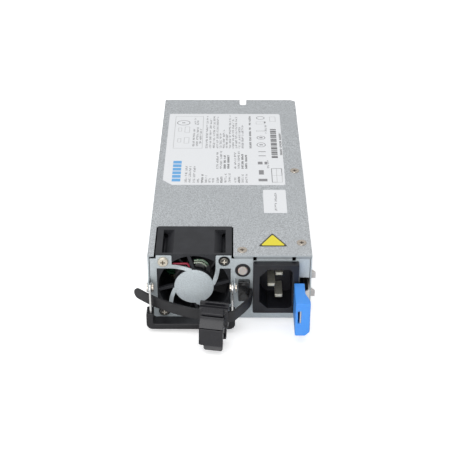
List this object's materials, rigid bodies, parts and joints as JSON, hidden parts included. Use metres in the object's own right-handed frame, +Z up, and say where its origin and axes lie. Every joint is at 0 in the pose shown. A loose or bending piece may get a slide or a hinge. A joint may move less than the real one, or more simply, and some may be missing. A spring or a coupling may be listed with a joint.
{
  "type": "hot swap server power supply",
  "caption": "Flat steel server power supply with front fan, mains inlet, bail handle, cord strap clip, sprung side latch and rear card edge.",
  "frame": {"origin": "centre of the casing's underside", "axes": "+X to the right seen from the front, +Y from the front panel to the rear card edge, +Z up"},
  "size_m": [0.097, 0.2347, 0.04],
  "materials": {
    "galvanised_steel": "galvanised sheet, fine spangle",
    "cover_steel": "galvanised sheet, fine spangle",
    "fan_plastic": "moulded, matt",
    "bearing_steel": "ground",
    "lamination": "stacked",
    "lead_insulation": "insulated leads",
    "nickel_screw": "nickel plated",
    "black_plastic": "moulded, satin",
    "nickel_blade": "nickel plated brass",
    "frosted_lens": "frosted",
    "label_paper": "matt film",
    "yellow_label": "matt film",
    "board_green": "solder resist",
    "insulator": "polyester sheet",
    "gold_contact": "gold plated",
    "capacitor_can": "sleeved can",
    "ferrite": "sintered",
    "copper_wire": "enamelled wire",
    "film_yellow": "moulded box",
    "aluminium_sink": "extruded",
    "handle_steel": "plated strip",
    "black_nylon": "nylon, satin",
    "spring_steel": "spring steel strip",
    "blue_plastic": "moulded, satin"
  },
  "bodies": {
    "chassis": {"chassis_tray": "galvanised_steel", "top_cover": "cover_steel", "rear_panel": "galvanised_steel", "fan_frame": "fan_plastic", "fan_bearings": "bearing_steel", "fan_stator": "lamination", "fan_leads": "lead_insulation", "fan_screws": "nickel_screw", "cover_screws": "nickel_screw", "inlet_housing": "black_plastic", "inlet_blades": "nickel_blade", "status_lamp": "frosted_lens", "lamp_bezel": "black_plastic", "strap_anchor": "black_plastic", "handle_pivots": "nickel_screw", "latch_rivets": "nickel_screw", "rating_label": "label_paper", "small_label": "label_paper", "triangle_sticker": "yellow_label", "main_board": "board_green", "insulator_sheet": "insulator", "board_spacers": "nickel_screw", "board_screws": "nickel_screw", "edge_contacts": "gold_contact", "bulk_capacitors": "capacitor_can", "filter_choke_core": "ferrite", "filter_choke_winding": "copper_wire", "film_capacitor": "film_yellow", "relay": "black_plastic", "fuse": "insulator", "primary_heat_sink": "aluminium_sink", "power_devices": "black_plastic", "transformer_core": "ferrite", "transformer_winding": "copper_wire", "output_heat_sink": "aluminium_sink", "output_capacitors": "capacitor_can", "bus_bars": "copper_wire", "control_board": "board_green"},
    "fan_rotor": {"fan_impeller": "fan_plastic", "fan_shaft": "bearing_steel", "rotor_magnet": "ferrite"},
    "handle": {"handle_arm_left": "handle_steel", "handle_arm_right": "handle_steel", "handle_grip": "black_plastic", "cord_strap": "black_nylon"},
    "clip": {"clip_housing": "black_nylon", "clip_pin": "black_nylon"},
    "thumb_lever": {"clip_lever": "black_nylon"},
    "swing_jaw": {"clip_jaw": "black_nylon"},
    "latch": {"latch_spring": "spring_steel", "release_tab": "blue_plastic"}
  },
  "joints": [
    {"name": "fan_spin", "type": "hinge", "parent": "chassis", "child": "fan_rotor", "pos_m": [-0.0189, -0.08, 0.02], "axis": [0, 1, 0], "continuous": true},
    {"name": "handle_swing", "type": "hinge", "parent": "chassis", "child": "handle", "pos_m": [-0.02, -0.0996, 0.022], "axis": [-1, 0, 0], "range_deg": [0, 70], "deforming": ["cord_strap"]},
    {"name": "latch_flex", "type": "hinge", "parent": "chassis", "child": "latch", "pos_m": [0.04135, -0.016, 0.0155], "axis": [0, 0, -1], "range_deg": [0, 2.8], "stiffness_Nm_per_rad": 12},
    {"name": "clip_slide", "type": "slide", "parent": "handle", "child": "clip", "axis": [0.9842, -0.1771, 0], "range_m": [-0.01, 0]},
    {"name": "clip_release", "type": "hinge", "parent": "clip", "child": "thumb_lever", "pos_m": [-0.00873, -0.12143, 0.0197], "axis": [0.9842, -0.1771, 0], "range_deg": [0, 12], "stiffness_Nm_per_rad": 0.05},
    {"name": "jaw_close", "type": "hinge", "parent": "clip", "child": "swing_jaw", "pos_m": [-0.00906, -0.12326, 0.0129], "axis": [0.9842, -0.1771, 0], "range_deg": [0, 45]}
  ]
}
